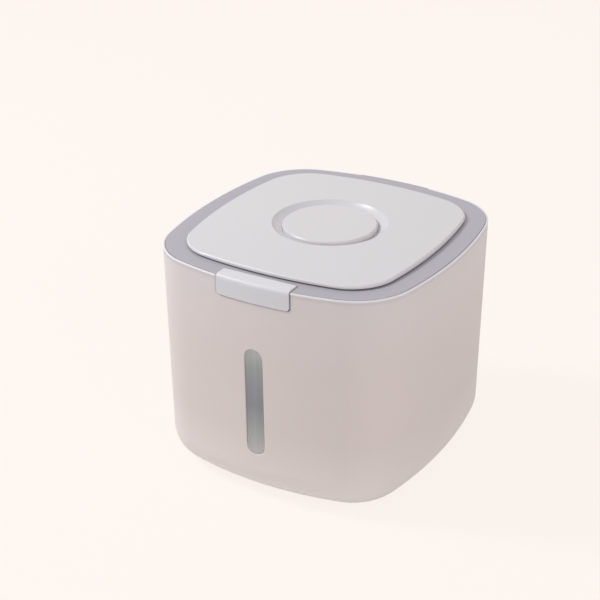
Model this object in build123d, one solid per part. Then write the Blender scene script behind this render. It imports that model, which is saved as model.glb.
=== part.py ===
"""Rice storage container: a moulded bucket with a window, and a hinged, latched lid that stores a rice cup.

Millimetres, +Z up. Every piece is drawn about the bucket's own centre line with the latch at the front (-Y),
and moved at the end so that the origin lies on the floor under the middle of the overall envelope.
"""
import os
from math import acos, cos, degrees, hypot, radians, sin, sqrt, tan

from build123d import *

# Bucket
half_width = 107.5
half_depth = 112.5
front_bulge = 266.0
side_bulge = 350.0
corner_radius = 49.0
rim_height = 180.0
draft = 0.86
wall = 2.8
floor_thickness = 3.0
foot_rounding = 26.0
floor_lift = 1.5

# Mouth ring, pressed into the bucket's top
lip_width = 1.0
lip_chamfer = 0.3
flange_thickness = 2.3
ring_inset = 5.0
ring_depth = 18.0
ledge_inset = 10.2
ledge_drop = 8.6
ledge_thickness = 2.0

# Lid
lid_gap = 0.65
frame_thickness = 3.5
frame_land = 0.2
plate_half_width = 89.8
plate_front_reach = 95.1
plate_back_reach = 94.0
plate_front_bulge = 326.0
plate_side_bulge = 372.0
plate_corner_radius = 38.0
plate_gap = 1.0
plate_rise = 5.0
crown_radius = 3000.0
cover_wall = 2.2
skirt_inset = 4.6
skirt_wall = 1.8
step_depth = 1.8
step_width = 2.2
plate_edge_chamfer = 1.0

# Round recess, stored cup and its well
recess_centre_y = 2.2
recess_radius = 44.2
recess_depth = 4.6
recess_sag = 0.36
well_radius = 37.3
well_wall = 1.8
well_chamfer = 2.5
cup_radius = 36.3
cup_height = 43.9
cup_wall = 1.6
cup_base_chamfer = 1.0
cup_inner_chamfer = 1.2
cup_drop = 0.8
cup_seat_gap = 0.3

# Liner and its screws
pan_inset = 10.8
pan_flange = 5.0
pan_depth = 8.5
pan_wall = 1.8
pan_chamfer = 2.5
screw_margin = 28.4
screw_radius = 1.3
screw_head_radius = 3.0
screw_head_height = 1.8
hidden_sides = 8
screw_end_gap = 1.0
boss_radius = 3.8

# Seal
seal_inset = 7.2
seal_width = 2.5
seal_height = 2.4
seal_groove = 0.9
seal_rib = 0.7

# Latch
latch_width = 60.0
latch_height = 15.4
latch_leaf = 2.2
latch_front_leaf = 1.9
latch_top_lift = 1.1
latch_proud = 0.6
latch_inner_reach = 14.5
latch_barrel = 2.6
latch_pin_radius = 0.9
latch_corner = 2.2
latch_bend = 3.0
latch_gap = 0.7
notch_chamfer = 0.6
trough_wall = 1.3
trough_end = 3.0
pin_end_wall = 1.0
catch_width = 46.0
catch_bead = 0.6
hook_bead = 0.5
bead_height = 1.6
catch_wall_inset = 3.3

# Rear hinge
hinge_stand_off = 8.6
hinge_drop = 10.5
hinge_barrel = 3.8
hinge_pin_radius = 1.5
tongue_width = 60.0
tongue_drop = 1.6
tongue_wall_gap = 0.8
tongue_slope_start = 0.5
tongue_root_lift = 0.5
tongue_top_angle = 55.0
tongue_low_angle = 220.0
ear_width = 9.0
ear_gap = 0.5
ear_root_lift = 1.0
ear_top_angle = 65.0
ear_low_angle = -50.0
hinge_block_depth = 17.0
stop_heel_bite = 0.2
stop_heel_width = 6.0
stop_heel_back_angle = 335.0
lid_opening = 95.0

# Window
window_width = 15.3
window_bottom = 39.0
window_top = 128.0
window_gap = 0.15
window_set_back = 0.7
slot_chamfer = 0.4
pane_thickness = 1.6
gasket_margin = 2.0
gasket_band = 2.4
gasket_thickness = 1.0
peg_side = 2.6
peg_head_side = 4.4
peg_head_height = 1.0
peg_rows = 3

# Foot pads
pad_side = 15.0
pad_thickness = 2.5
pad_span_x = 52.0
pad_span_y = 56.0

# Clearances, and how far a cutter or an overlap reaches past a surface
press_gap = 0.05
seat_gap = 0.3
running_gap = 0.05
side_gap = 0.4
over = 1.0

overall_height = rim_height + plate_rise
plate_half_depth = (plate_front_reach + plate_back_reach) / 2
plate_centre_y = (plate_back_reach - plate_front_reach) / 2
ledge_top = rim_height - ledge_drop
frame_bottom = rim_height - frame_thickness
seal_low = ledge_top + seat_gap
seal_top = seal_low + seal_height
trough_radius = latch_barrel + seat_gap + trough_wall
trough_width = latch_width + 2 * side_gap + 2 * trough_end
crown_top = overall_height + recess_radius**2 / (2 * crown_radius)
peg_reach = window_width / 2 + gasket_margin + gasket_band + seat_gap + peg_side / 2
pane_flange = peg_reach + peg_head_side / 2 + seat_gap - window_width / 2
hinge_y = half_depth + hinge_stand_off
hinge_z = rim_height - hinge_drop
latch_top = rim_height + latch_top_lift
latch_axis_z = latch_top - latch_barrel
latch_axis_y = -(half_depth - latch_inner_reach) - latch_barrel
latch_bottom = latch_top - latch_height
notch_reach = latch_width / 2 + latch_gap + over / 2
plate_bottom = rim_height + plate_gap
pan_bottom = frame_bottom - pan_depth
well_floor = overall_height - cup_drop - cup_height - cup_seat_gap
step_floor = rim_height - step_depth
front_reach = half_depth + latch_proud
back_reach = hinge_y + hinge_barrel
centring = Pos(0, (front_reach - back_reach) / 2, 0)
hinge_half = tongue_width / 2 + ear_gap + ear_width


def outline(half_x, half_y, bulge_x, bulge_y, corner, inset=0.0):
    """Face with four bulged sides, each tangent to the round corners beside it."""
    side_centre = half_x - bulge_x
    front_centre = half_y - bulge_y
    gap = hypot(side_centre, front_centre)
    to_side = bulge_x - corner
    to_front = bulge_y - corner
    along = (to_side**2 - to_front**2 + gap**2) / (2 * gap)
    away = sqrt(to_side**2 - along**2)
    # unit vector from the side arc's centre to the front arc's centre
    ux, uy = -side_centre / gap, front_centre / gap
    corner_x = side_centre + along * ux - away * uy
    corner_y = along * uy + away * ux
    if corner_x < 0 or corner_y < 0:
        corner_x = side_centre + along * ux + away * uy
        corner_y = along * uy - away * ux
    side_direction = Vector(corner_x - side_centre, corner_y).normalized()
    front_direction = Vector(corner_x, corner_y - front_centre).normalized()
    side_end = Vector(side_centre, 0) + side_direction * (bulge_x - inset)
    front_end = Vector(0, front_centre) + front_direction * (bulge_y - inset)
    middle = Vector(corner_x, corner_y) + (side_direction + front_direction).normalized() * (corner - inset)

    def place(point, sx, sy):
        return (point.X * sx, point.Y * sy)

    right = (half_x - inset, 0)
    front = (0, half_y - inset)
    arcs = [
        ThreePointArc(place(side_end, 1, -1), right, place(side_end, 1, 1)),
        ThreePointArc(place(side_end, 1, 1), place(middle, 1, 1), place(front_end, 1, 1)),
        ThreePointArc(place(front_end, 1, 1), front, place(front_end, -1, 1)),
        ThreePointArc(place(front_end, -1, 1), place(middle, -1, 1), place(side_end, -1, 1)),
        ThreePointArc(place(side_end, -1, 1), (-right[0], 0), place(side_end, -1, -1)),
        ThreePointArc(place(side_end, -1, -1), place(middle, -1, -1), place(front_end, -1, -1)),
        ThreePointArc(place(front_end, -1, -1), (0, -front[1]), place(front_end, 1, -1)),
        ThreePointArc(place(front_end, 1, -1), place(middle, 1, -1), place(side_end, 1, -1)),
    ]
    return make_face(Wire(arcs).edges())


def body_plan(inset=0.0):
    """Plan of the bucket's outer wall at the rim, drawn in by an inset."""
    return outline(half_width, half_depth, side_bulge, front_bulge, corner_radius, inset)


def plate_plan(inset=0.0):
    """Plan of the lid's white plate, drawn in by an inset."""
    return Pos(0, plate_centre_y, 0) * outline(
        plate_half_width, plate_half_depth, plate_side_bulge, plate_front_bulge, plate_corner_radius, inset
    )


def slab(face, low, high):
    """Straight prism of a plan face from one height to another."""
    return extrude(Pos(0, 0, low) * face, amount=high - low)


def drawn_body(inset, low, high):
    """Drafted solid of the bucket's outer wall, drawn in by an inset, between two heights."""
    top = Pos(0, 0, high) * body_plan(inset + (rim_height - high) * tan(radians(draft)))
    return extrude(top, amount=high - low, dir=(0, 0, -1), taper=draft)


def band(outer_inset, inner_inset, low, high):
    """Piece of wall between two insets of the bucket's outer surface."""
    return drawn_body(outer_inset, low, high) - drawn_body(inner_inset, low - over, high + over)


def cone(low_inset, low, high_inset, high):
    """Solid between two body plans whose insets differ, for bevels."""
    return loft([Pos(0, 0, low) * body_plan(low_inset), Pos(0, 0, high) * body_plan(high_inset)], ruled=True)


def block(x_low, x_high, y_low, y_high, z_low, z_high):
    """Box from its six limits."""
    size = Box(x_high - x_low, y_high - y_low, z_high - z_low)
    return Pos((x_low + x_high) / 2, (y_low + y_high) / 2, (z_low + z_high) / 2) * size


def rod(radius, length, y, z, x=0.0):
    """Cylinder along X."""
    return Pos(x, y, z) * (Rot(0, 90, 0) * Cylinder(radius, length))


def profile_along_x(points, length, x=0.0):
    """Prism along X of a closed outline given in Y and Z."""
    wire = Polyline(*[(x - length / 2, y, z) for y, z in points], close=True)
    return extrude(make_face(wire.edges()), amount=length, dir=(1, 0, 0))


def stadium(width, bottom, top, y_low, y_high):
    """Upright slot shape with full round ends, as a prism along Y."""
    sketch = SlotOverall(top - bottom, width, rotation=90)
    plane = Plane(origin=(0, y_low, (bottom + top) / 2), x_dir=(1, 0, 0), z_dir=(0, 1, 0))
    return extrude(plane * sketch, amount=y_high - y_low)


def front_window(grow):
    """Prism through the front wall with the window's outline, grown all round."""
    return stadium(
        window_width + 2 * grow, window_bottom - grow, window_top + grow, -half_depth - over, -half_depth / 2
    )


def peg_spots():
    """Places of the pegs that hold the window, as pairs of X and Z."""
    pitch = (window_top - window_bottom - window_width) / (peg_rows - 1)
    lowest = window_bottom + window_width / 2
    return [(side * peg_reach, lowest + row * pitch) for side in (-1, 1) for row in range(peg_rows)]


def pad_spots():
    """Places of the four foot pads."""
    return {
        "front_left": (-pad_span_x, -pad_span_y),
        "front_right": (pad_span_x, -pad_span_y),
        "back_left": (-pad_span_x, pad_span_y),
        "back_right": (pad_span_x, pad_span_y),
    }


def screw_spots():
    """Places of the lid's screws, as far in from the plate's sides as the frame's opening needs."""
    x = plate_half_width - screw_margin
    front = screw_margin - plate_front_reach
    back = plate_back_reach - screw_margin
    return [(-x, front), (x, front), (-x, back), (x, back)]


def upright(radius, low, high, spot=(0, 0)):
    """Cylinder along Z between two heights."""
    return Pos(spot[0], spot[1], (low + high) / 2) * Cylinder(radius, high - low)


def many_sided(radius, low, high, spot):
    """Upright prism for a shank, bore or boss that the finished lid hides."""
    return Pos(spot[0], spot[1], low) * extrude(RegularPolygon(radius, hidden_sides), amount=high - low)


def peg(side, spot):
    """Square bar through the front wall at a peg's place."""
    x, z = spot
    return block(x - side / 2, x + side / 2, -half_depth - over, -half_depth / 2, z - side / 2, z + side / 2)


def window_stack():
    """Insets of the pane's seal and flange behind the wall: seal start, flange start, flange end."""
    seal = wall + press_gap
    flange = seal + gasket_thickness + press_gap
    return seal, flange, flange + pane_thickness


def latch_notch(grow_side, low, inner_inset):
    """Cutter for the room that the latch's front leaf needs in the wall."""
    width = latch_width / 2 + grow_side
    notch = block(-width, width, -half_depth - 2 * over, -half_depth / 2, low, rim_height + 2 * over)
    lower = notch.edges().filter_by(Axis.Y).group_by(Axis.Z)[0]
    notch = fillet(lower, latch_corner + grow_side)
    return notch & band(-2 * over, inner_inset, low - over, rim_height + 3 * over)


def outer_edges(piece, reach, low, high):
    """Edges of an opening in the front wall's outer surface, within a half width and two heights."""
    chosen = []
    for edge in piece.edges():
        middle = edge.center()
        bulge = front_bulge - sqrt(front_bulge**2 - min(reach, middle.X) ** 2)
        surface = bulge - half_depth + (rim_height - middle.Z) * tan(radians(draft))
        if abs(middle.X) < reach and low < middle.Z < high and middle.Y - surface < wall / 2:
            chosen.append(edge)
    return chosen


def bucket():
    """Hollow bin with a rounded foot, window slot, latch notch, hinge cut-out and pad pockets."""
    top = rim_height - flange_thickness
    outer = drawn_body(0, floor_lift, top)
    outer = fillet(outer.edges().group_by(Axis.Z)[0], foot_rounding)
    inner_floor = floor_lift + floor_thickness
    inner = drawn_body(wall, inner_floor, top + over)
    inner = fillet(inner.edges().group_by(Axis.Z)[0], foot_rounding - wall)
    shell = outer - inner
    shell -= front_window(0)
    shell = chamfer(outer_edges(shell, window_width, window_bottom - over, window_top + over), slot_chamfer)
    shell -= latch_notch(latch_gap, latch_bottom - latch_gap, wall + over)
    shell = chamfer(outer_edges(shell, notch_reach, latch_bottom - over, top - over / 2), notch_chamfer)
    hinge_cut = block(-hinge_half - side_gap, hinge_half + side_gap, half_depth / 2, half_depth + over,
                      rim_height - hinge_block_depth - side_gap, rim_height + over)
    shell -= hinge_cut
    flange_end = window_stack()[-1]
    peg_end = flange_end + press_gap + peg_head_height
    peg_band = band(wall - over, peg_end, window_bottom, window_top)
    head_band = band(flange_end + press_gap, peg_end, window_bottom, window_top)
    for spot in peg_spots():
        shell += peg(peg_side, spot) & peg_band
        shell += peg(peg_head_side, spot) & head_band
    for x, y in pad_spots().values():
        reach = pad_side / 2 + press_gap
        shell -= block(x - reach, x + reach, y - reach, y + reach, 0, pad_thickness)
    return shell


def foot_pad(spot):
    """Square of rubber in its pocket under the bucket."""
    x, y = spot
    reach = pad_side / 2
    return block(x - reach, x + reach, y - reach, y + reach, 0, pad_thickness)


def window_pane():
    """Clear strip that fills the slot, with a flange behind the wall and holes for the pegs."""
    flange_start, flange_end = window_stack()[1:]
    strip_band = band(window_set_back, flange_end, window_bottom - over, window_top + over)
    strip = front_window(-window_gap) & strip_band
    low = window_bottom - 2 * pane_flange
    high = window_top + 2 * pane_flange
    flange = front_window(pane_flange) & band(flange_start, flange_end, low, high)
    pane = strip + flange
    for spot in peg_spots():
        pane -= peg(peg_side + 2 * press_gap, spot)
    return pane


def window_gasket():
    """Flat ring of rubber between the pane's flange and the wall."""
    start = window_stack()[0]
    margin = gasket_margin + gasket_band
    ring = front_window(margin) - front_window(gasket_margin)
    return ring & band(start, start + gasket_thickness, window_bottom - 2 * margin, window_top + 2 * margin)


def ring_ears():
    """Two ears behind the wall that hold the hinge pin, on the block that fills the bucket's cut-out."""
    block_low = rim_height - hinge_block_depth
    hinge_block = block(-hinge_half, hinge_half, half_depth / 2, half_depth + over, block_low, rim_height)
    ears = hinge_block & band(0, wall + press_gap + over, block_low, rim_height)
    wall_y = half_depth - ring_inset
    upper = radians(ear_top_angle)
    lower = radians(ear_low_angle)
    side = [
        (wall_y, frame_bottom + side_gap),
        (hinge_y + hinge_barrel * cos(upper), hinge_z + hinge_barrel * sin(upper)),
        (hinge_y, hinge_z),
        (hinge_y + hinge_barrel * cos(lower), hinge_z + hinge_barrel * sin(lower)),
        (wall_y, block_low + ear_root_lift),
    ]
    for direction in (-1, 1):
        x = direction * (tongue_width / 2 + ear_gap + ear_width / 2)
        ears += profile_along_x(side, ear_width, x)
        ears += rod(hinge_barrel, ear_width, hinge_y, hinge_z, x)
    return ears


def mouth_ring():
    """Ring round the mouth: lip, bevelled seat, seal ledge, catch bead and hinge ears."""
    band_outer = wall + press_gap
    low = rim_height - ring_depth
    flange_low = rim_height - flange_thickness
    notch = latch_notch(latch_gap, latch_bottom - latch_gap, catch_wall_inset)
    flange = drawn_body(0, flange_low, rim_height) - notch
    sides = outer_edges(flange, notch_reach, flange_low + over / 2, rim_height - over / 2)
    flange = chamfer(sides, notch_chamfer)
    flange = chamfer(flange.edges().group_by(Axis.Z)[-1], lip_chamfer)
    ring = flange + drawn_body(band_outer, low, flange_low + over)
    ring += ring_ears()
    ledge_low = ledge_top - ledge_thickness
    slope = ledge_inset - ring_inset
    bevel_low = rim_height - (ring_inset - lip_width)
    mouth = cone(ring_inset, bevel_low, lip_width - over, rim_height + over)
    mouth += slab(body_plan(ring_inset), ledge_top, bevel_low)
    mouth += slab(body_plan(ledge_inset), ledge_low - over / 2, ledge_top)
    mouth += cone(ring_inset, ledge_low - slope, ledge_inset, ledge_low)
    mouth += slab(body_plan(ring_inset), low - over, ledge_low - slope)
    ring -= mouth
    ring -= notch
    half = tongue_width / 2 + ear_gap
    ring -= block(-half, half, half_depth - ring_inset - 3 * over, half_depth + 2 * over, frame_bottom,
                  rim_height + over)
    bead_low = latch_bottom + latch_leaf + bead_height + seat_gap
    bead = band(catch_wall_inset - catch_bead, catch_wall_inset + over, bead_low, bead_low + bead_height)
    ring += bead & block(-catch_width / 2, catch_width / 2, -half_depth - over, -half_depth / 2,
                         bead_low - over, rim_height)
    ring -= rod(hinge_pin_radius + press_gap / 2, 2 * hinge_half + 2 * over, hinge_y, hinge_z)
    return ring


def hinge_pin():
    """Steel rod through both ears and the lid's barrel."""
    return rod(hinge_pin_radius, 2 * hinge_half, hinge_y, hinge_z)


def lid_tongue():
    """Hinge arm of the lid: a skin over the rear wall, a barrel and two stop heels."""
    under = frame_bottom + side_gap
    wall_side = half_depth + tongue_wall_gap
    start = half_depth - pan_inset
    upper = radians(tongue_top_angle)
    lower = radians(tongue_low_angle)
    top = rim_height - tongue_drop
    skin = [
        (start, top),
        (half_depth - tongue_slope_start, top),
        (hinge_y + hinge_barrel * cos(upper), hinge_z + hinge_barrel * sin(upper)),
        (hinge_y, hinge_z),
        (hinge_y + hinge_barrel * cos(lower), hinge_z + hinge_barrel * sin(lower)),
        (wall_side, hinge_z + tongue_root_lift),
        (wall_side, under),
        (start, under),
    ]
    arm = profile_along_x(skin, tongue_width)
    # the cap carries the line of the mouth's edge across the gap in the lip
    arm += slab(body_plan(0), under, rim_height) & block(
        -tongue_width / 2, tongue_width / 2, start, half_depth + over, under, rim_height)
    arm += rod(hinge_barrel, tongue_width, hinge_y, hinge_z)
    # the heel's leading corner meets the wall when the lid is fully open
    heel_x = tongue_width / 4
    wall_distance = hinge_stand_off + front_bulge - sqrt(front_bulge**2 - heel_x**2)
    heel_reach = wall_distance + stop_heel_bite
    meeting = degrees(acos((wall_distance - seat_gap) / heel_reach))
    lead = radians(180 + meeting + lid_opening)
    trail = radians(stop_heel_back_angle)
    heel = [
        (hinge_y, hinge_z),
        (hinge_y + heel_reach * cos(lead), hinge_z + heel_reach * sin(lead)),
        (hinge_y + hinge_barrel * cos(trail), hinge_z + hinge_barrel * sin(trail)),
    ]
    for side in (-1, 1):
        arm += profile_along_x(heel, stop_heel_width, side * heel_x)
    arm -= rod(hinge_pin_radius + running_gap, tongue_width + over, hinge_y, hinge_z)
    return arm


def latch_pocket():
    """Room for the latch's barrel and top leaf in the lid frame."""
    width = latch_width / 2 + side_gap
    barrel_room = rod(latch_barrel + seat_gap, 2 * width, latch_axis_y, latch_axis_z)
    leaf_floor = latch_top - latch_leaf - seat_gap
    above = block(-width, width, -half_depth - over, latch_axis_y, leaf_floor, latch_top + over)
    mouth = block(-width, width, latch_axis_y - over, latch_axis_y + latch_barrel + seat_gap, latch_axis_z,
                  latch_top + over)
    return barrel_room + above + mouth


def lid_frame():
    """Grey ring of the lid: bevelled edge, seal groove, step for the cover, latch trough and hinge tongue."""
    outer_top = lip_width + lid_gap
    land_low = rim_height - frame_land
    ring = slab(body_plan(outer_top), land_low, rim_height)
    ring += cone(outer_top + land_low - frame_bottom, frame_bottom, outer_top, land_low)
    opening = skirt_inset - seat_gap
    ring += rod(trough_radius, trough_width, latch_axis_y, latch_axis_z) & block(
        -half_width, half_width, -half_depth, 0, pan_bottom, rim_height)
    ring -= slab(plate_plan(opening), step_floor, rim_height + over)
    ring -= slab(plate_plan(opening + step_width), frame_bottom - over, step_floor + over)
    rib_low = seal_top - seal_groove
    rib = slab(body_plan(seal_inset - seal_rib), rib_low, frame_bottom + over / 2)
    rib -= slab(body_plan(seal_inset + seal_width + seal_rib), rib_low - over, rim_height)
    ring += rib
    groove = slab(body_plan(seal_inset), rib_low - over, seal_top)
    groove -= slab(body_plan(seal_inset + seal_width), rib_low - 2 * over, rim_height)
    ring -= groove
    ring += lid_tongue()
    ring -= latch_pocket()
    pin_bore = trough_width - 2 * pin_end_wall
    return ring - rod(latch_pin_radius + press_gap / 2, pin_bore, latch_axis_y, latch_axis_z)


def lid_gasket():
    """Silicone seal in the frame's groove, a hair above the ledge."""
    top = seal_top - press_gap
    outer = slab(body_plan(seal_inset + press_gap), seal_low, top)
    return outer - slab(body_plan(seal_inset + seal_width - press_gap), ledge_top, top + over)


def recess_cut():
    """Solid of revolution that dishes the plate and opens the well below it."""
    floor_z = overall_height - recess_depth
    profile = [
        Line((0, overall_height + over), (recess_radius + 2 * over, overall_height + over)),
        Line((recess_radius + 2 * over, overall_height + over), (recess_radius, overall_height)),
        ThreePointArc((recess_radius, overall_height),
                      ((recess_radius + well_radius) / 2, floor_z + recess_depth * recess_sag),
                      (well_radius, floor_z)),
        Line((well_radius, floor_z), (well_radius, frame_bottom)),
        Line((well_radius, frame_bottom), (0, frame_bottom)),
        Line((0, frame_bottom), (0, overall_height + over)),
    ]
    return Pos(0, recess_centre_y, 0) * revolve(Plane.XZ * make_face(Wire(profile).edges()), Axis.Z)


def lid_cover():
    """White crowned plate with a dished recess, a skirt that drops into the frame and screw bosses."""
    centre = (0, recess_centre_y)
    ball = Pos(*centre, crown_top - crown_radius) * (Rot(90, 0, 0) * Sphere(crown_radius))
    under_ball = Pos(0, 0, -cover_wall) * ball
    plate = slab(plate_plan(0), plate_bottom, overall_height + over) & ball
    plate = chamfer(plate.faces().sort_by(Axis.Z)[-1].edges(), plate_edge_chamfer)
    inside = skirt_inset + skirt_wall
    hollow = slab(plate_plan(inside), plate_bottom - over, overall_height) & under_ball
    cover = plate - hollow
    cover += slab(plate_plan(skirt_inset), step_floor, plate_bottom + over) - slab(
        plate_plan(inside), step_floor - over, overall_height)
    collar_low = frame_bottom + step_depth
    collar_outer = recess_radius + cover_wall
    collar = upright(collar_outer, collar_low, overall_height - over, centre)
    below_floor = overall_height - recess_depth - cover_wall
    below_recess = upright(collar_outer + over, collar_low - over, below_floor, centre)
    collar -= below_recess - upright(well_radius + well_wall, collar_low - over, overall_height, centre)
    cover += collar
    boss_low = pan_bottom + pan_wall + seat_gap
    for spot in screw_spots():
        cover += many_sided(boss_radius, boss_low, overall_height - cover_wall - over / 2, spot)
    cover -= recess_cut()
    for spot in screw_spots():
        cover -= many_sided(screw_radius + press_gap, pan_bottom, plate_bottom, spot)
    return cover


def lid_liner():
    """White pan that closes the lid's underside, with the cup's well hanging from its floor."""
    top = frame_bottom - press_gap
    flange_low = top - pan_wall
    pan = slab(body_plan(pan_inset), flange_low, top)
    wall_inset = pan_inset + pan_flange
    shell = slab(body_plan(wall_inset), pan_bottom, flange_low + over / 2)
    shell = chamfer(shell.edges().group_by(Axis.Z)[0], pan_chamfer)
    pan += shell
    inner = slab(body_plan(wall_inset + pan_wall), pan_bottom + pan_wall, top + over)
    pan -= inner
    centre = (0, recess_centre_y)
    well_top = frame_bottom + step_depth - seat_gap
    well = upright(well_radius + well_wall, well_floor - well_wall, well_top, centre)
    pan += chamfer(well.edges().group_by(Axis.Z)[0], well_chamfer)
    pan -= upright(well_radius, well_floor, well_top + over, centre)
    pan -= rod(trough_radius + seat_gap, trough_width + 2 * side_gap, latch_axis_y, latch_axis_z)
    for spot in screw_spots():
        pan -= many_sided(screw_radius + side_gap, pan_bottom - over, top, spot)
    return pan


def lid_screws():
    """Pan-head screws that clamp liner, frame and cover together."""
    screws = []
    for spot in screw_spots():
        head = upright(screw_head_radius, pan_bottom - screw_head_height, pan_bottom, spot)
        shank = many_sided(screw_radius, pan_bottom - over / 2, plate_bottom - screw_end_gap, spot)
        screws.append(head + shank)
    return Compound(screws)


def measuring_cup():
    """Rice cup stored mouth down: its base is the round disc in the lid's recess."""
    base = overall_height - cup_drop
    mouth = base - cup_height
    centre = (0, recess_centre_y)
    outer = upright(cup_radius, mouth, base, centre)
    outer = chamfer(outer.edges().group_by(Axis.Z)[-1], cup_base_chamfer)
    inner = upright(cup_radius - cup_wall, mouth - over, base - cup_wall, centre)
    return outer - chamfer(inner.edges().group_by(Axis.Z)[-1], cup_inner_chamfer)


def latch():
    """L-shaped buckle: barrel, top leaf over the lid frame, front leaf in the notch and a hook bead."""
    half = latch_width / 2
    skin = drawn_body(-latch_proud, latch_bottom, latch_top)
    top_leaf = block(-half, half, -half_depth - over, latch_axis_y, latch_top - latch_leaf, latch_top) & skin
    front_leaf = block(-half, half, -half_depth - over, -half_depth / 2, latch_bottom, latch_top)
    lower = front_leaf.edges().filter_by(Axis.Y).group_by(Axis.Z)[0]
    front_leaf = fillet(lower, latch_corner)
    front_leaf = front_leaf & band(-latch_proud, latch_front_leaf - latch_proud, latch_bottom, latch_top)
    buckle = top_leaf + front_leaf
    bend = [
        edge for edge in buckle.edges()
        if edge.center().Z > latch_top - press_gap and edge.center().Y < -half_depth + 2 * over
    ]
    buckle = fillet(bend, latch_bend)
    buckle += rod(latch_barrel, latch_width, latch_axis_y, latch_axis_z)
    inner = latch_front_leaf - latch_proud
    bead_low = latch_bottom + latch_leaf
    bead = band(inner - over / 2, inner + hook_bead, bead_low, bead_low + bead_height)
    buckle += bead & block(-catch_width / 2, catch_width / 2, -half_depth - over, -half_depth / 2,
                           bead_low, bead_low + bead_height)
    return buckle - rod(latch_pin_radius + running_gap, latch_width + over, latch_axis_y, latch_axis_z)


def latch_pin():
    """Pin of the buckle, held at both ends in the lid frame."""
    return rod(latch_pin_radius, trough_width - 2 * pin_end_wall - side_gap, latch_axis_y, latch_axis_z)


os.makedirs("parts", exist_ok=True)
nodes = {
    "bucket": bucket,
    "mouth_ring": mouth_ring,
    "window_pane": window_pane,
    "window_gasket": window_gasket,
    "hinge_pin": hinge_pin,
    "lid_frame": lid_frame,
    "lid_cover": lid_cover,
    "lid_liner": lid_liner,
    "lid_gasket": lid_gasket,
    "lid_screws": lid_screws,
    "measuring_cup": measuring_cup,
    "latch": latch,
    "latch_pin": latch_pin,
}
for name, make in nodes.items():
    export_step(centring * make(), f"parts/{name}.step")
for place, spot in pad_spots().items():
    export_step(centring * foot_pad(spot), f"parts/foot_{place}.step")
shift = centring.position.Y
print("overall depth", round(front_reach + back_reach, 2))
print("hinge axis", round(hinge_y + shift, 3), round(hinge_z, 3))
print("latch axis", round(latch_axis_y + shift, 3), round(latch_axis_z, 3))
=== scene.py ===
from math import cos, radians, sin

import bpy
from mathutils import Matrix, Vector


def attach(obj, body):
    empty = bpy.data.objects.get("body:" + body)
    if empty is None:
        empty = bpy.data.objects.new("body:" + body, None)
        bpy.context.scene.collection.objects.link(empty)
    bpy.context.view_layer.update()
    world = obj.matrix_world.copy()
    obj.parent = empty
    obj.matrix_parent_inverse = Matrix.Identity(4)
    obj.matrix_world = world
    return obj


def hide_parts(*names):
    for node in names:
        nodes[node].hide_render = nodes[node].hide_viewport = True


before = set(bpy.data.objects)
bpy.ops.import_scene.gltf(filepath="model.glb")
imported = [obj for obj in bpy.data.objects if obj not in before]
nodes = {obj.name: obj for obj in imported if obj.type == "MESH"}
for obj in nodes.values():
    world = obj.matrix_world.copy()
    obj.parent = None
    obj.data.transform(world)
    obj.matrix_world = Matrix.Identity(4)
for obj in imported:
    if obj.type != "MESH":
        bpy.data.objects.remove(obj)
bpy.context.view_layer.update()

# Camera. It stands in front, a little to the right and above, with a long lens, so that the lid, the
# latch side and the right side show. The picture is cropped off centre, which the lens shift repeats.
camera_azimuth = radians(28.99)
camera_elevation = radians(27.50)
camera_roll = radians(0.25)
camera_distance = 1.1985
camera_target = Vector((0.0, -0.0059, 0.090))
picture_side = 600
focal_pixels = 1526.2
picture_middle_x = 328.2
picture_middle_y = 334.2
film_width = 36.0


def put_in_scene(name, data):
    """New object in the scene."""
    thing = bpy.data.objects.new(name, data)
    bpy.context.scene.collection.objects.link(thing)
    return thing


camera_data = bpy.data.cameras.new("camera")
camera_data.sensor_width = film_width
camera_data.lens = focal_pixels / picture_side * film_width
camera_data.shift_x = (picture_side / 2 - picture_middle_x) / picture_side
camera_data.shift_y = (picture_middle_y - picture_side / 2) / picture_side
camera = put_in_scene("camera", camera_data)
back = Vector((
    sin(camera_azimuth) * cos(camera_elevation),
    -cos(camera_azimuth) * cos(camera_elevation),
    sin(camera_elevation),
))
level = Vector((cos(camera_azimuth), sin(camera_azimuth), 0.0))
rise = back.cross(level)
camera_right = level * cos(camera_roll) + rise * sin(camera_roll)
camera_up = rise * cos(camera_roll) - level * sin(camera_roll)
camera.matrix_world = Matrix.Translation(camera_target + back * camera_distance) @ Matrix(
    (camera_right, camera_up, back)
).transposed().to_4x4()
bpy.context.scene.camera = camera

# Studio. A pale table with a soft shadow, a soft lamp high on the left, a weaker and warmer one on the
# right and an even pale surround, as for a catalogue picture.
studio_pale = (0.965, 0.895, 0.855)
paper_white = (0.92, 0.90, 0.90)
surround_light = (1.0, 0.985, 0.985)
surround_strength = 0.53
table_reach = 6.0
table_glow = 1.045
table_glow_share = 0.89


def node_tree(owner):
    """Shorthands to add and join nodes in the emptied node tree of a material or world."""
    owner.use_nodes = True
    tree = owner.node_tree
    tree.nodes.clear()

    def add(kind, **values):
        node = tree.nodes.new(kind)
        for key, value in values.items():
            if hasattr(node, key):
                setattr(node, key, value)
            else:
                node.inputs[key.replace("_", " ")].default_value = value
        return node

    return add, tree.links.new


def seen_by_eye(add, link):
    """1 for what the camera sees straight, in a gloss or through glass, and 0 for light on the object."""
    path = add("ShaderNodeLightPath")
    either = add("ShaderNodeMath", operation="MAXIMUM")
    link(path.outputs["Is Camera Ray"], either.inputs[0])
    link(path.outputs["Is Glossy Ray"], either.inputs[1])
    any_of = add("ShaderNodeMath", operation="MAXIMUM")
    link(either.outputs[0], any_of.inputs[0])
    link(path.outputs["Is Transmission Ray"], any_of.inputs[1])
    return any_of.outputs[0]


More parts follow.
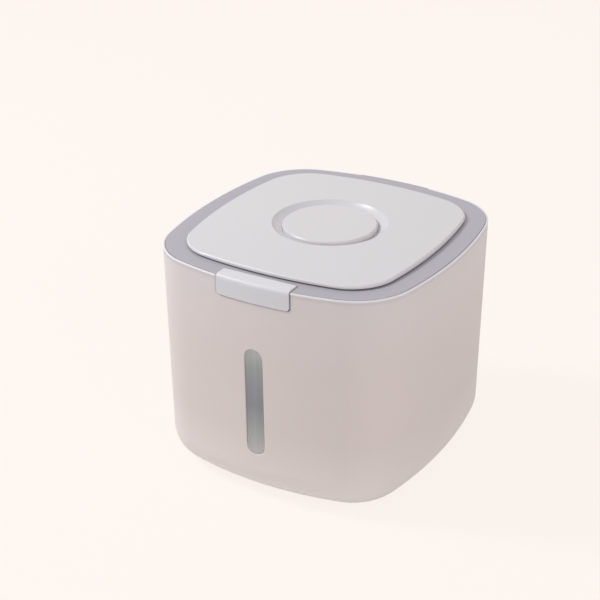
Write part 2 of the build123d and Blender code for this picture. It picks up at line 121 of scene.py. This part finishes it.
world = bpy.data.worlds.new("studio")
bpy.context.scene.world = world
add, link = node_tree(world)
lighting = add("ShaderNodeBackground", Color=(*surround_light, 1.0), Strength=surround_strength)
backdrop = add("ShaderNodeBackground", Color=(*studio_pale, 1.0), Strength=1.0)
choice = add("ShaderNodeMixShader")
link(seen_by_eye(add, link), choice.inputs[0])
link(lighting.outputs[0], choice.inputs[1])
link(backdrop.outputs[0], choice.inputs[2])
link(choice.outputs[0], add("ShaderNodeOutputWorld").inputs["Surface"])


def soft_lamp(name, place, size, power, colour):
    """Square area lamp that faces the middle of the object."""
    data = bpy.data.lights.new(name, "AREA")
    data.shape = "SQUARE"
    data.size = size
    data.energy = power
    data.color = colour
    lamp = put_in_scene(name, data)
    lamp.location = place
    lamp.rotation_mode = "QUATERNION"
    lamp.rotation_quaternion = (camera_target - Vector(place)).to_track_quat("-Z", "Y")


soft_lamp("lamp_left", place=(-1.48, -0.55, 1.76), size=0.45, power=24.4, colour=(0.97, 0.99, 1.0))
soft_lamp("lamp_right", place=(2.1, -0.8, 0.9), size=1.2, power=7.9, colour=(1.0, 0.98, 0.93))


def mesh_of(name, points, faces):
    """Mesh made of points and faces."""
    mesh = bpy.data.meshes.new(name)
    mesh.from_pydata(points, [], faces)
    return mesh


table_corners = [(x * table_reach, y * table_reach, 0.0) for x, y in ((-1, -1), (1, -1), (1, 1), (-1, 1))]
table = put_in_scene("table", mesh_of("table", table_corners, [(0, 1, 2, 3)]))
table_material = bpy.data.materials.new("table_paper")
add, link = node_tree(table_material)
paper = add("ShaderNodeBsdfDiffuse", Color=(*paper_white, 1.0))
glow = add("ShaderNodeEmission", Color=(*studio_pale, 1.0), Strength=table_glow)
seen = add("ShaderNodeMath", operation="MULTIPLY")
seen.inputs[1].default_value = table_glow_share
link(seen_by_eye(add, link), seen.inputs[0])
table_mix = add("ShaderNodeMixShader")
link(seen.outputs[0], table_mix.inputs[0])
link(paper.outputs[0], table_mix.inputs[1])
link(glow.outputs[0], table_mix.inputs[2])
link(table_mix.outputs[0], add("ShaderNodeOutputMaterial").inputs["Surface"])
table.data.materials.append(table_material)

# Bucket. One deep moulding in warm pinkish white plastic with a fine satin skin, drafted so that it leaves
# the mould, with the slot for the window and the notch for the latch left open in its front wall.
bucket_colour = (0.738, 0.652, 0.634)
# Painted light by height: paler and cooler near the floor as a painted floor bounce, a little cooler near the
# top as a painted reflection, and a darker band just under the lip as painted shade.
bucket_painted_light = (
    (0.000, (1.14, 1.20, 1.19)),
    (0.020, (1.09, 1.12, 1.11)),
    (0.062, (1.00, 1.00, 1.00)),
    (0.115, (1.00, 1.00, 1.00)),
    (0.160, (1.015, 1.035, 1.045)),
    (0.1755, (0.995, 1.04, 1.065)),
    (0.1778, (0.92, 0.95, 0.98)),
)
cloud_scale = 18.0
gloss_spread = 0.05
grain_strength = 0.35
# Sockets of a Mix node that carry its two colours and the mixed one.
mix_first = 6
mix_second = 7
mix_result = 2


def eased(add, link, value, start=0.0, end=1.0, low=0.0, high=1.0):
    """Value carried over from the range start to end into the range low to high."""
    spread = add("ShaderNodeMapRange", From_Min=start, From_Max=end, To_Min=low, To_Max=high)
    link(value, spread.inputs["Value"])
    return spread.outputs[0]


def tinted_by_height(add, link, place, plain, shades):
    """Colour multiplied by a run of shades, each given with its height."""
    top = shades[-1][0]
    brightest = max(max(colour) for height, colour in shades)
    parts = add("ShaderNodeSeparateXYZ")
    link(place, parts.inputs[0])
    share = add("ShaderNodeMath", operation="DIVIDE", use_clamp=True)
    share.inputs[1].default_value = top
    link(parts.outputs["Z"], share.inputs[0])
    run = add("ShaderNodeValToRGB")
    stops = run.color_ramp.elements
    while len(stops) < len(shades):
        stops.new(0.5)
    for stop, (height, colour) in zip(stops, shades):
        stop.position = height / top
        stop.color = (*[c / brightest for c in colour], 1.0)
    link(share.outputs[0], run.inputs[0])
    bright = add("ShaderNodeVectorMath", operation="SCALE")
    bright.inputs["Scale"].default_value = brightest
    link(run.outputs[0], bright.inputs[0])
    product = add("ShaderNodeVectorMath", operation="MULTIPLY")
    link(plain, product.inputs[0])
    link(bright.outputs[0], product.inputs[1])
    return product.outputs[0]


def moulded_plastic(
    name, colour, roughness, grain_size=0.00045, grain_height=0.000012, tint=0.012, edge=0.0005,
    painted_light_by_height=None, painted_light_touch=None,
):
    """Satin moulded plastic: a faint cloudy tint, uneven gloss, a fine mould grain and softened edges, with
    any painted light that is given.
    """
    material = bpy.data.materials.new(name)
    add, link = node_tree(material)
    where = add("ShaderNodeTexCoord")
    clouds = add("ShaderNodeTexNoise", Scale=cloud_scale, Detail=3.0, Roughness=0.5)
    link(where.outputs["Object"], clouds.inputs["Vector"])
    cloudy = add("ShaderNodeMix", data_type="RGBA")
    cloudy.inputs[mix_first].default_value = (*[max(0.0, c - tint) for c in colour], 1.0)
    cloudy.inputs[mix_second].default_value = (*[min(1.0, c + tint) for c in colour], 1.0)
    link(clouds.outputs["Fac"], cloudy.inputs[0])
    gloss = eased(
        add, link, clouds.outputs["Fac"], low=roughness - gloss_spread, high=roughness + gloss_spread
    )
    grain = add("ShaderNodeTexNoise", Scale=1.0 / grain_size, Detail=2.0, Roughness=0.6)
    link(where.outputs["Object"], grain.inputs["Vector"])
    relief = add("ShaderNodeBump", Strength=grain_strength, Distance=grain_height)
    link(grain.outputs["Fac"], relief.inputs["Height"])
    rounded = add("ShaderNodeBevel", samples=8, Radius=edge)
    link(rounded.outputs[0], relief.inputs["Normal"])
    shown = cloudy.outputs[mix_result]
    # Painted light, where given: colour changed by height, or on chosen faces.
    if painted_light_by_height:
        shown = tinted_by_height(add, link, where.outputs["Object"], shown, painted_light_by_height)
    if painted_light_touch:
        shown = painted_light_touch(add, link, where, shown)
    skin = add("ShaderNodeBsdfPrincipled")
    link(shown, skin.inputs["Base Color"])
    link(gloss, skin.inputs["Roughness"])
    link(relief.outputs[0], skin.inputs["Normal"])
    link(skin.outputs[0], add("ShaderNodeOutputMaterial").inputs["Surface"])
    return material


def dress(node, material):
    """Puts a material on a CAD node."""
    mesh = nodes[node].data
    mesh.materials.clear()
    mesh.materials.append(material)


dress("bucket", moulded_plastic("bucket_plastic", bucket_colour, roughness=0.46, painted_light_by_height=bucket_painted_light))

# Mouth ring. A moulded ring pressed into the bucket's top and of the bucket's tint; its lip is painted
# whiter, a painted highlight that shows as a thin light line round the mouth. Behind the rear wall it carries
# the hinge ears.
ring_colour = (0.700, 0.655, 0.655)
# Painted highlight: above the lip's height the ring is painted whiter and cooler.
ring_lip_painted_highlight = (
    (0.0000, (1.00, 1.00, 1.00)),
    (0.1788, (1.00, 1.00, 1.00)),
    (0.1792, (1.27, 1.31, 1.38)),
)
dress("mouth_ring", moulded_plastic(
    "ring_plastic", ring_colour, roughness=0.42, edge=0.0008, painted_light_by_height=ring_lip_painted_highlight
))

# Window. A smoke-grey strip of clear plastic, paler at both ends, let into the slot from inside and held by
# heat-staked pegs, with a rubber ring behind it.
window_shades = (
    (0.0390, (0.84, 0.83, 0.81)),
    (0.0440, (0.82, 0.81, 0.79)),
    (0.0510, (0.71, 0.72, 0.70)),
    (0.0660, (0.57, 0.58, 0.58)),
    (0.0810, (0.435, 0.45, 0.485)),
    (0.0980, (0.50, 0.51, 0.545)),
    (0.1130, (0.58, 0.605, 0.595)),
    (0.1250, (0.79, 0.79, 0.775)),
    (0.1280, (0.83, 0.825, 0.81)),
)
window_half_width = 0.0076
window_rim = 0.0008
window_rim_shade = 0.82
window_streaks = (520.0, 520.0, 6.0)
streak_darkest = 0.87
streak_lightest = 1.14
window_roughness = 0.30
window_clearness = 0.45
plastic_ior = 1.49
gasket_colour = (0.16, 0.16, 0.17)


def smoked_plastic(name):
    """Frosted smoke-grey plastic: shades that change with height, faint upright streaks, darker sides."""
    material = bpy.data.materials.new(name)
    add, link = node_tree(material)
    where = add("ShaderNodeTexCoord")
    stretch = add("ShaderNodeMapping")
    stretch.inputs["Scale"].default_value = window_streaks
    link(where.outputs["Object"], stretch.inputs["Vector"])
    streaks = add("ShaderNodeTexNoise", Scale=1.0, Detail=1.0)
    link(stretch.outputs[0], streaks.inputs["Vector"])
    faint = eased(add, link, streaks.outputs["Fac"], low=streak_darkest, high=streak_lightest)
    parts = add("ShaderNodeSeparateXYZ")
    link(where.outputs["Object"], parts.inputs[0])
    beside = add("ShaderNodeMath", operation="ABSOLUTE")
    link(parts.outputs["X"], beside.inputs[0])
    rim = eased(
        add, link, beside.outputs[0], window_half_width - window_rim, window_half_width,
        low=1.0, high=window_rim_shade,
    )
    both = add("ShaderNodeMath", operation="MULTIPLY")
    link(faint, both.inputs[0])
    link(rim, both.inputs[1])
    shown = tinted_by_height(add, link, where.outputs["Object"], both.outputs[0], window_shades)
    pane = add("ShaderNodeBsdfPrincipled", Roughness=window_roughness, IOR=plastic_ior)
    pane.inputs["Transmission Weight"].default_value = window_clearness
    link(shown, pane.inputs["Base Color"])
    link(pane.outputs[0], add("ShaderNodeOutputMaterial").inputs["Surface"])
    return material


def rubber(name, colour):
    """Dull rubber with a fine uneven skin."""
    return moulded_plastic(name, colour, roughness=0.75, grain_size=0.0008, grain_height=0.00002, tint=0.02)


dress("window_pane", smoked_plastic("window_plastic"))
dress("window_gasket", rubber("gasket_rubber", gasket_colour))

# Foot pads. Four soft grey rubber squares, pressed into pockets of the floor, so that the bin stands level
# and doesn't slide.
pad_colour = (0.20, 0.20, 0.21)
pad_rubber = rubber("pad_rubber", pad_colour)
for corner in ("front_left", "front_right", "back_left", "back_right"):
    dress(f"foot_{corner}", pad_rubber)

# Lid frame. The lavender-grey moulded ring that carries the lid: it drops into the bevelled seat of the
# mouth ring, and holds the latch in front and the hinge arm behind.
frame_colour = (0.465, 0.447, 0.505)
dress("lid_frame", moulded_plastic("frame_plastic", frame_colour, roughness=0.42))

# Lid cover. The white, slightly crowned plate with the dished round recess, smoother than the bucket and
# screwed to the frame from below. Its outer sides are painted a little paler as a painted highlight, above a
# painted shadow line at their foot.
cover_colour = (0.735, 0.722, 0.745)
recess_middle = (0.0, -0.0037, 0.0)
recess_end = 0.056
plate_sides_start = 0.060
top_face_slope = 0.82
side_face_slope = 0.70
# Painted light on the plate's outer sides: a painted shadow line at their foot, a painted highlight above it.
foot_low = 0.1808
foot_high = 0.1812
foot_painted_shadow = 0.25
side_painted_highlight = 1.07


def painted_side_light(add, link, where, plain):
    """Painted light on the plate's outer sides alone: a painted shadow at their foot, a painted highlight
    above it.
    """
    aside = add("ShaderNodeVectorMath", operation="SUBTRACT")
    link(where.outputs["Object"], aside.inputs[0])
    aside.inputs[1].default_value = recess_middle
    flat = add("ShaderNodeVectorMath", operation="MULTIPLY")
    link(aside.outputs[0], flat.inputs[0])
    flat.inputs[1].default_value = (1.0, 1.0, 0.0)
    reach = add("ShaderNodeVectorMath", operation="LENGTH")
    link(flat.outputs[0], reach.inputs[0])
    outer = eased(add, link, reach.outputs["Value"], recess_end, plate_sides_start)
    facing = add("ShaderNodeSeparateXYZ")
    link(where.outputs["Normal"], facing.inputs[0])
    steep = eased(add, link, facing.outputs["Z"], top_face_slope, side_face_slope)
    side = add("ShaderNodeMath", operation="MULTIPLY")
    link(outer, side.inputs[0])
    link(steep, side.inputs[1])
    parts = add("ShaderNodeSeparateXYZ")
    link(where.outputs["Object"], parts.inputs[0])
    shade = eased(add, link, parts.outputs["Z"], foot_low, foot_high, foot_painted_shadow - 1.0, side_painted_highlight - 1.0)
    change = add("ShaderNodeMath", operation="MULTIPLY_ADD")
    link(side.outputs[0], change.inputs[0])
    link(shade, change.inputs[1])
    change.inputs[2].default_value = 1.0
    shown = add("ShaderNodeVectorMath", operation="SCALE")
    link(plain, shown.inputs[0])
    link(change.outputs[0], shown.inputs["Scale"])
    return shown.outputs[0]


dress("lid_cover", moulded_plastic(
    "cover_plastic", cover_colour, roughness=0.34, grain_height=0.000006, tint=0.006, edge=0.0010,
    painted_light_touch=painted_side_light,
))

# Liner and seal. The white pan under the lid with the cup's well, and the silicone seal that sits in the
# frame's groove and presses on the ledge of the mouth ring.
liner_colour = (0.72, 0.71, 0.70)
seal_colour = (0.60, 0.60, 0.62)
dress("lid_liner", moulded_plastic("liner_plastic", liner_colour, roughness=0.42))
dress("lid_gasket", rubber("seal_silicone", seal_colour))

# Pins. Plain rods of plated steel, cut from drawn wire: the latch's pin is held in the lid frame, and the
# hinge's longer one in the ears of the mouth ring.
steel_colour = (0.62, 0.62, 0.63)
steel_marks_scale = 900.0
steel_smoothest = 0.22
steel_roughest = 0.40


def plated_steel(name):
    """Plated steel with fine turning marks."""
    material = bpy.data.materials.new(name)
    add, link = node_tree(material)
    where = add("ShaderNodeTexCoord")
    marks = add("ShaderNodeTexNoise", Scale=steel_marks_scale, Detail=2.0)
    link(where.outputs["Object"], marks.inputs["Vector"])
    gloss = eased(add, link, marks.outputs["Fac"], low=steel_smoothest, high=steel_roughest)
    metal = add("ShaderNodeBsdfPrincipled", Metallic=1.0)
    metal.inputs["Base Color"].default_value = (*steel_colour, 1.0)
    link(gloss, metal.inputs["Roughness"])
    link(metal.outputs[0], add("ShaderNodeOutputMaterial").inputs["Surface"])
    return material


steel = plated_steel("plated_steel")
for pin in ("latch_pin", "hinge_pin"):
    dress(pin, steel)

# Screws. Four plated pan-head screws that clamp liner, frame and cover from below, turned and rolled from
# wire, each with a tapered cross recess for the driver.
screw_spots = ((-0.0614, -0.0726), (0.0614, -0.0726), (-0.0614, 0.0597), (0.0614, 0.0597))
head_radius = 0.0030
head_low = 0.1662
head_high = 0.1680
head_rounding = 0.0007
rounding_bulge = 0.3
shank_radius = 0.0013
shank_end = 0.1800
recess_arm = 0.0017
recess_half_slot = 0.00042
recess_depth = 0.0011
recess_taper = 0.45
turning_steps = 40


def turned_points(section, steps, centre=(0.0, 0.0)):
    """Points of a section turned in steps about an upright axis."""
    middle_x, middle_y = centre
    points = []
    for step in range(steps):
        turn = radians(360.0 * step / steps)
        points += [(middle_x + radius * cos(turn), middle_y + radius * sin(turn), z) for radius, z in section]
    return points


def turned_solid(name, section, steps):
    """Closed solid turned about Z from a section that starts and ends on the axis."""
    ring = section[1:-1]
    count = len(ring)
    points = [(0.0, 0.0, section[0][1])]
    points += turned_points(ring, steps)
    points.append((0.0, 0.0, section[-1][1]))
    last = len(points) - 1
    faces = []
    for step in range(steps):
        here = 1 + step * count
        there = 1 + (step + 1) % steps * count
        faces.append((0, there, here))
        faces += [(here + k, there + k, there + k + 1, here + k + 1) for k in range(count - 1)]
        faces.append((last, here + count - 1, there + count - 1))
    return mesh_of(name, points, faces)


def cross_cutter(name, arm, half_slot, low, depth, taper, past):
    """Tapered plug with a cross outline, which starts a little below the head."""
    outline = [
        (arm, -half_slot), (arm, half_slot), (half_slot, half_slot), (half_slot, arm), (-half_slot, arm),
        (-half_slot, half_slot), (-arm, half_slot), (-arm, -half_slot), (-half_slot, -half_slot),
        (-half_slot, -arm), (half_slot, -arm), (half_slot, -half_slot),
    ]
    count = len(outline)
    points = [(x, y, low - past) for x, y in outline]
    points += [(x * taper, y * taper, low + depth) for x, y in outline]
    faces = [(k, (k + 1) % count, (k + 1) % count + count, k + count) for k in range(count)]
    faces += [tuple(reversed(range(count))), tuple(range(count, 2 * count))]
    return mesh_of(name, points, faces)


def cut_mesh(body_mesh, cutter_mesh):
    """Mesh of the body with the cutter taken out of it."""
    body = put_in_scene("body", body_mesh)
    cutter = put_in_scene("cutter", cutter_mesh)
    cut = body.modifiers.new("cut", "BOOLEAN")
    cut.operation = "DIFFERENCE"
    cut.solver = "EXACT"
    cut.object = cutter
    bpy.context.view_layer.update()
    result = bpy.data.meshes.new_from_object(body.evaluated_get(bpy.context.evaluated_depsgraph_get()))
    for helper in (body, cutter):
        bpy.data.objects.remove(helper)
    return result


screw_section = [
    (0.0, head_low),
    (head_radius - head_rounding, head_low),
    (head_radius - head_rounding * rounding_bulge, head_low + head_rounding * rounding_bulge),
    (head_radius, head_low + head_rounding),
    (head_radius, head_high),
    (shank_radius, head_high),
    (shank_radius, shank_end - shank_radius / 2),
    (0.0, shank_end),
]
one_screw = cut_mesh(
    turned_solid("turned", screw_section, turning_steps),
    cross_cutter("cross", recess_arm, recess_half_slot, head_low, recess_depth, recess_taper, head_rounding),
)
screw_points = []
screw_faces = []
for spot_x, spot_y in screw_spots:
    start = len(screw_points)
    screw_points += [(v.co.x + spot_x, v.co.y + spot_y, v.co.z) for v in one_screw.vertices]
    screw_faces += [tuple(start + k for k in polygon.vertices) for polygon in one_screw.polygons]
screw_mesh = mesh_of("screws", screw_points, screw_faces)
screw_mesh.validate()
screws = put_in_scene("screws", screw_mesh)
screws.data.materials.append(steel)
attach(screws, "lid")
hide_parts("lid_screws")

# Well seal. A soft thin ring of silicone on the wall of the cup's well, just under the floor of the recess,
# which keeps dust out of the gap round the cup.
well_centre = (0.0, -0.0037)
well_seal_inner = 0.03650
well_seal_outer = 0.03728
well_seal_top = 0.18040
well_seal_height = 0.0014
well_seal_crown = 0.0002
well_seal_steps = 96
well_seal_colour = (0.74, 0.73, 0.74)


def round_ring(name, centre, inner, outer, top, height, crown, steps):
    """Ring with a slightly rounded top, turned from its section."""
    section = [
        (outer, top - height),
        (outer, top - crown),
        ((outer * 3 + inner) / 4, top - crown / 4),
        ((outer + inner) / 2, top),
        ((outer + inner * 3) / 4, top - crown / 4),
        (inner, top - crown),
        (inner, top - height),
    ]
    count = len(section)
    faces = []
    for step in range(steps):
        here = step * count
        there = (step + 1) % steps * count
        for k in range(count):
            after = (k + 1) % count
            faces.append((here + k, there + k, there + after, here + after))
    mesh = mesh_of(name, turned_points(section, steps, centre), faces)
    mesh.validate()
    for polygon in mesh.polygons:
        polygon.use_smooth = True
    return put_in_scene(name, mesh)


well_seal = round_ring(
    "well_seal", well_centre, well_seal_inner, well_seal_outer, well_seal_top, well_seal_height,
    well_seal_crown, well_seal_steps,
)
well_seal.data.materials.append(moulded_plastic(
    "well_silicone", well_seal_colour, roughness=0.6, edge=0.0001
))
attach(well_seal, "lid")

# Measuring cup. A thin-walled white moulding, stored mouth down in the well of the lid: its base is the
# round disc in the recess, and it lifts straight out.
cup_colour = (0.735, 0.718, 0.738)
dress("measuring_cup", moulded_plastic(
    "cup_plastic", cup_colour, roughness=0.34, grain_height=0.000006, edge=0.0012
))

# Latch. The white L-shaped buckle, moulded in one piece and snapped on its pin in the frame, with a soft
# bend over the lip; its top leaf is painted a little paler, a painted highlight.
latch_colour = (0.715, 0.707, 0.742)
# Painted highlight: the top leaf, above the bend, is painted a little paler.
latch_painted_highlight = (
    (0.0000, (1.00, 1.00, 1.00)),
    (0.1790, (1.00, 1.00, 1.00)),
    (0.1810, (1.07, 1.07, 1.06)),
)
dress("latch", moulded_plastic(
    "latch_plastic", latch_colour, roughness=0.38, grain_height=0.000008, edge=0.0006, painted_light_by_height=latch_painted_highlight
))

# Colours are shown as they are written.
bpy.context.scene.view_settings.view_transform = "Standard"
